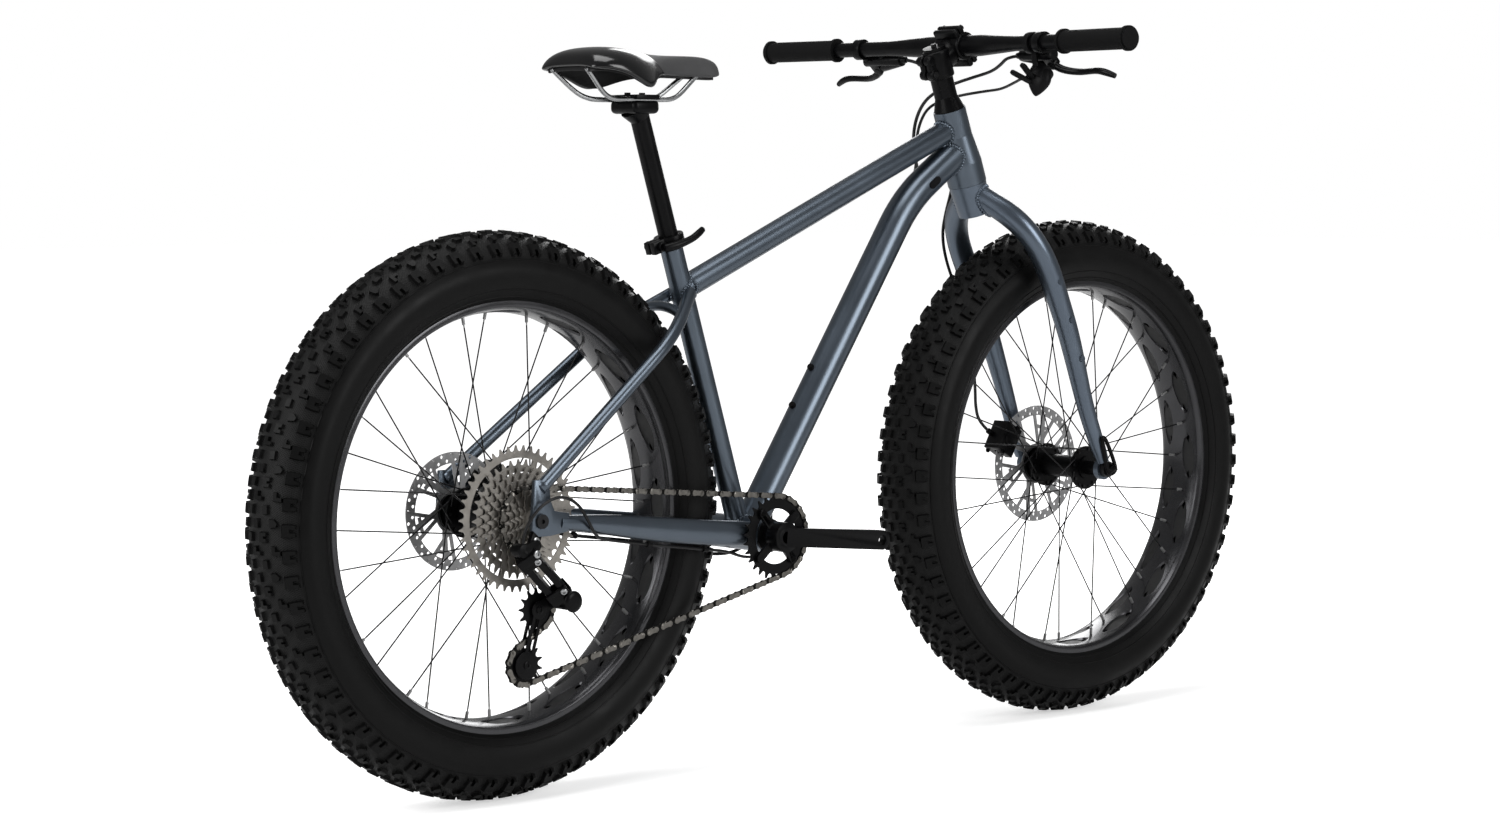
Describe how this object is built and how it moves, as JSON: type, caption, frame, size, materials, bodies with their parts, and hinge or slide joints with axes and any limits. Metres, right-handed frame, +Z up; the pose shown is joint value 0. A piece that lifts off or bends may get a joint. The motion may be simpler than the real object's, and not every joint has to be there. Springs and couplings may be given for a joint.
{
  "type": "fat tire bike",
  "caption": "Hardtail bicycle with extra wide knobbed tyres, rigid fork, single chainring with wide cassette, disc brakes, flat bar and quick-release seatpost.",
  "frame": {"origin": "on the ground, midway between the two axles, in the middle plane of the bike", "axes": "+X forward, +Y to the rider's left, +Z up"},
  "size_m": [1.8678, 0.749, 1.0462],
  "materials": {
    "frame_paint": "satin metallic blue-grey",
    "fork_paint": "satin metallic blue-grey",
    "bearing_steel": "dark steel",
    "black_alloy": "black anodised",
    "black_plastic": "moulded",
    "cord_jacket": "extruded jacket",
    "grip_rubber": "matte",
    "saddle_skin": "stitched synthetic",
    "saddle_base": "gloss",
    "rail_steel": "drawn",
    "tyre_rubber": "moulded",
    "rim_black": "satin black",
    "spoke_black": "black",
    "rotor_steel": "ground",
    "chain_steel": "plated",
    "cog_nickel": "nickel plated"
  },
  "bodies": {
    "frame": {"head_tube": "frame_paint", "top_tube": "frame_paint", "down_tube": "frame_paint", "seat_tube": "frame_paint", "bottom_bracket_shell": "frame_paint", "chainstays": "frame_paint", "seatstays": "frame_paint", "dropouts": "frame_paint", "frame_bearings": "bearing_steel", "rear_axle": "bearing_steel", "seat_collar": "black_alloy", "rear_caliper": "black_alloy", "rear_brake_hose": "cord_jacket", "shift_cable": "cord_jacket", "frame_fittings": "black_plastic", "chain": "chain_steel", "derailleur_mount": "black_alloy"},
    "fork": {"fork_steerer": "fork_paint", "fork_legs": "fork_paint", "headset_spacers": "black_alloy", "stem": "black_alloy", "stem_faceplate": "black_alloy", "cockpit_bolts": "bearing_steel", "handlebar": "black_alloy", "grips": "grip_rubber", "brake_lever_bodies": "black_alloy", "shifter_body": "black_plastic", "front_caliper": "black_alloy", "front_brake_hose": "cord_jacket", "front_axle": "bearing_steel"},
    "left_lever": {"left_brake_lever": "black_alloy"},
    "right_lever": {"right_brake_lever": "black_alloy"},
    "shift_main": {"shift_lever_main": "black_plastic"},
    "shift_release": {"shift_lever_release": "black_plastic"},
    "front_axle_handle": {"front_axle_lever": "black_alloy"},
    "seat_handle": {"seat_clamp_lever": "black_alloy"},
    "saddle": {"seatpost": "black_alloy", "saddle_clamp": "black_alloy", "saddle_cover": "saddle_skin", "saddle_rails": "rail_steel", "saddle_shell": "saddle_base"},
    "front_wheel": {"front_tyre": "tyre_rubber", "front_rim": "rim_black", "front_spokes": "spoke_black", "front_hub": "black_alloy", "front_rotor": "rotor_steel"},
    "rear_wheel": {"rear_tyre": "tyre_rubber", "rear_rim": "rim_black", "rear_spokes": "spoke_black", "rear_hub": "black_alloy", "rear_rotor": "rotor_steel"},
    "crank": {"crank_arms": "black_alloy", "chainring": "black_alloy"},
    "cassette": {"cassette": "cog_nickel"},
    "mech_outer": {"derailleur_outer_link": "black_alloy"},
    "mech_inner": {"derailleur_inner_link": "black_alloy"},
    "mech_knuckle": {"derailleur_knuckle": "black_alloy"},
    "mech_cage": {"derailleur_cage": "black_alloy"},
    "guide_pulley": {"upper_pulley": "black_plastic"},
    "tension_pulley": {"lower_pulley": "black_plastic"}
  },
  "joints": [
    {"name": "steering", "type": "hinge", "parent": "frame", "child": "fork", "pos_m": [0.34232, 0, 0.81366], "axis": [-0.3338, 0, 0.9426], "range_deg": [-60, 60], "deforming": ["rear_brake_hose", "shift_cable"]},
    {"name": "front_wheel_spin", "type": "hinge", "parent": "fork", "child": "front_wheel", "pos_m": [0.556, 0, 0.378], "axis": [0, 1, 0], "continuous": true},
    {"name": "rear_wheel_spin", "type": "hinge", "parent": "frame", "child": "rear_wheel", "pos_m": [-0.556, 0, 0.378], "axis": [0, 1, 0], "continuous": true},
    {"name": "crank_spin", "type": "hinge", "parent": "frame", "child": "crank", "pos_m": [-0.115, 0, 0.324], "axis": [0, 1, 0], "continuous": true},
    {"name": "cassette_spin", "type": "hinge", "parent": "frame", "child": "cassette", "pos_m": [-0.556, 0, 0.378], "axis": [0, 1, 0], "continuous": true},
    {"name": "derailleur_swing", "type": "hinge", "parent": "frame", "child": "mech_outer", "pos_m": [-0.56828, -0.10954, 0.33175], "axis": [0.4293, 0.788, 0.4413], "range_deg": [-25, 32], "deforming": ["chain"]},
    {"name": "derailleur_inner_swing", "type": "hinge", "parent": "frame", "child": "mech_inner", "pos_m": [-0.57817, -0.09846, 0.32158], "axis": [0.4293, 0.788, 0.4413], "range_deg": [-25, 32]},
    {"name": "derailleur_knuckle_turn", "type": "hinge", "parent": "mech_outer", "child": "mech_knuckle", "pos_m": [-0.52527, -0.10954, 0.28991], "axis": [0.4293, 0.788, 0.4413], "range_deg": [-32, 25]},
    {"name": "cage_swing", "type": "hinge", "parent": "mech_knuckle", "child": "mech_cage", "pos_m": [-0.516, -0.0825, 0.271], "axis": [0, 1, 0], "range_deg": [-40, 3], "stiffness_Nm_per_rad": 2, "deforming": ["chain"]},
    {"name": "guide_pulley_spin", "type": "hinge", "parent": "mech_cage", "child": "guide_pulley", "pos_m": [-0.54113, -0.075, 0.25814], "axis": [0, 1, 0], "continuous": true},
    {"name": "tension_pulley_spin", "type": "hinge", "parent": "mech_cage", "child": "tension_pulley", "pos_m": [-0.56303, -0.075, 0.18735], "axis": [0, 1, 0], "continuous": true},
    {"name": "left_brake_pull", "type": "hinge", "parent": "fork", "child": "left_lever", "pos_m": [0.33613, 0.17904, 0.98645], "axis": [0.6677, 0.065, 0.7416], "range_deg": [0, 18], "stiffness_Nm_per_rad": 3},
    {"name": "right_brake_pull", "type": "hinge", "parent": "fork", "child": "right_lever", "pos_m": [0.33613, -0.17904, 0.98645], "axis": [-0.6677, 0.065, -0.7416], "range_deg": [0, 18], "stiffness_Nm_per_rad": 3},
    {"name": "shift_push", "type": "hinge", "parent": "fork", "child": "shift_main", "pos_m": [0.31408, -0.166, 0.96005], "axis": [-0.6691, 0, -0.7431], "range_deg": [0, 30], "stiffness_Nm_per_rad": 0.8},
    {"name": "shift_release_push", "type": "hinge", "parent": "fork", "child": "shift_release", "pos_m": [0.31408, -0.166, 0.96005], "axis": [-0.6691, 0, -0.7431], "range_deg": [0, 15], "stiffness_Nm_per_rad": 0.8},
    {"name": "front_axle_handle_swing", "type": "hinge", "parent": "fork", "child": "front_axle_handle", "pos_m": [0.556, -0.099, 0.378], "axis": [0.9272, 0, 0.3746], "range_deg": [0, 90]},
    {"name": "seat_handle_swing", "type": "hinge", "parent": "frame", "child": "seat_handle", "pos_m": [-0.26733, -0.024, 0.72902], "axis": [0.2974, 0, -0.9548], "range_deg": [0, 140]},
    {"name": "seatpost_slide", "type": "slide", "parent": "frame", "child": "saddle", "axis": [-0.2974, 0, 0.9548], "range_m": [-0.15, 0.06]}
  ],
  "couplings": [
    {"joint": "cassette_spin", "follows": "crank_spin", "ratio": 1.3333},
    {"joint": "guide_pulley_spin", "follows": "crank_spin", "ratio": -2.1538},
    {"joint": "tension_pulley_spin", "follows": "crank_spin", "ratio": 2.1538},
    {"joint": "derailleur_inner_swing", "follows": "derailleur_swing", "ratio": 1},
    {"joint": "derailleur_knuckle_turn", "follows": "derailleur_swing", "ratio": -1}
  ]
}
